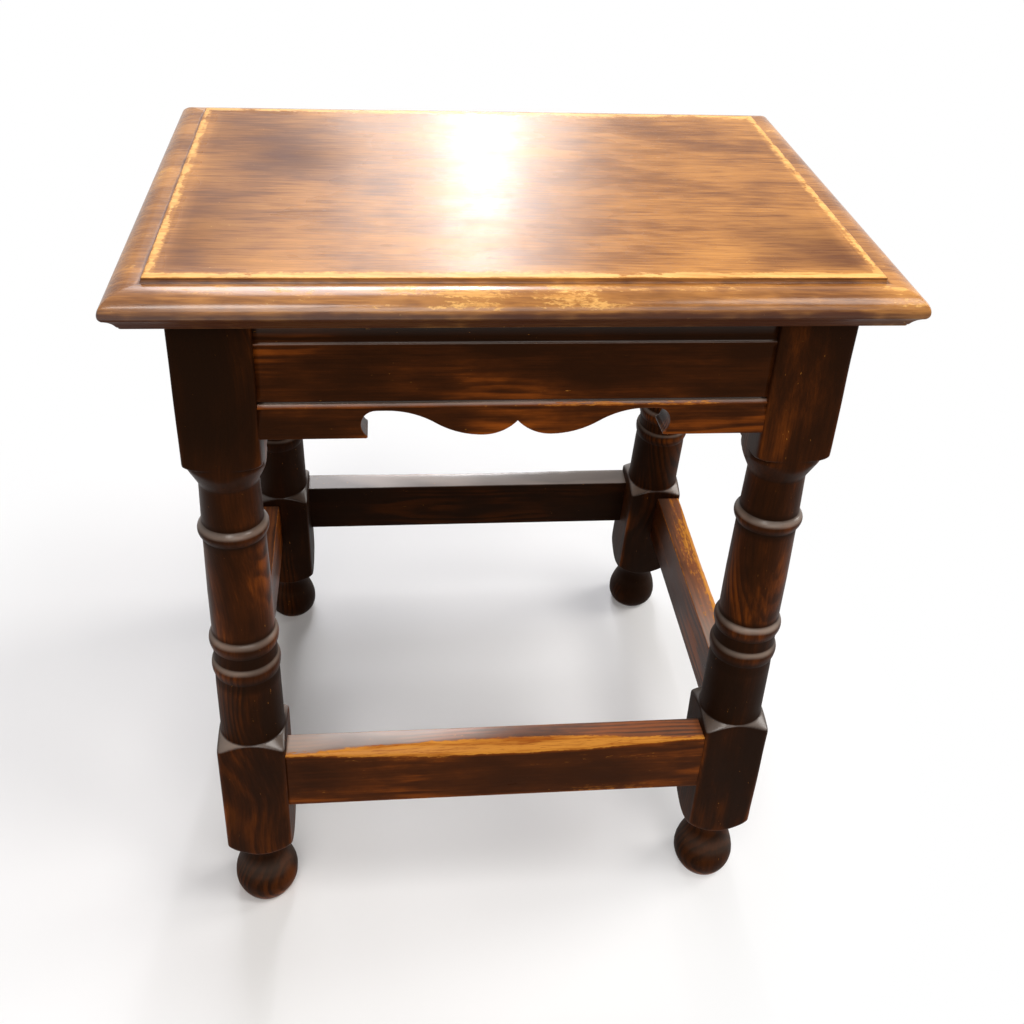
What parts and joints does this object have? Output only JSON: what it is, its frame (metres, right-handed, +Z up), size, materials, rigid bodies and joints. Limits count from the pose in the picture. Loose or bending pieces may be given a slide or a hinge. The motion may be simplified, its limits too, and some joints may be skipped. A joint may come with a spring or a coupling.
{
  "type": "joint stool",
  "caption": "Oak joint stool: moulded rectangular top on turned legs raked to front and back, with shaped rails and low stretchers.",
  "frame": {"origin": "floor level, in the middle between the four feet", "axes": "+X to the right along the long side of the seat, +Y to the back, +Z up"},
  "size_m": [0.457, 0.3562, 0.5175],
  "materials": {
    "seat_oak": "waxed, polished",
    "frame_oak": "dark stained, waxed",
    "steel_screws": "dull"
  },
  "bodies": {
    "root": {"top_board": "seat_oak", "leg_front_left": "frame_oak", "leg_front_right": "frame_oak", "leg_back_left": "frame_oak", "leg_back_right": "frame_oak", "rail_front": "frame_oak", "rail_back": "frame_oak", "rail_left": "frame_oak", "rail_right": "frame_oak", "stretcher_front": "frame_oak", "stretcher_back": "frame_oak", "stretcher_left": "frame_oak", "stretcher_right": "frame_oak", "top_fixing_screws": "steel_screws"}
  },
  "joints": []
}
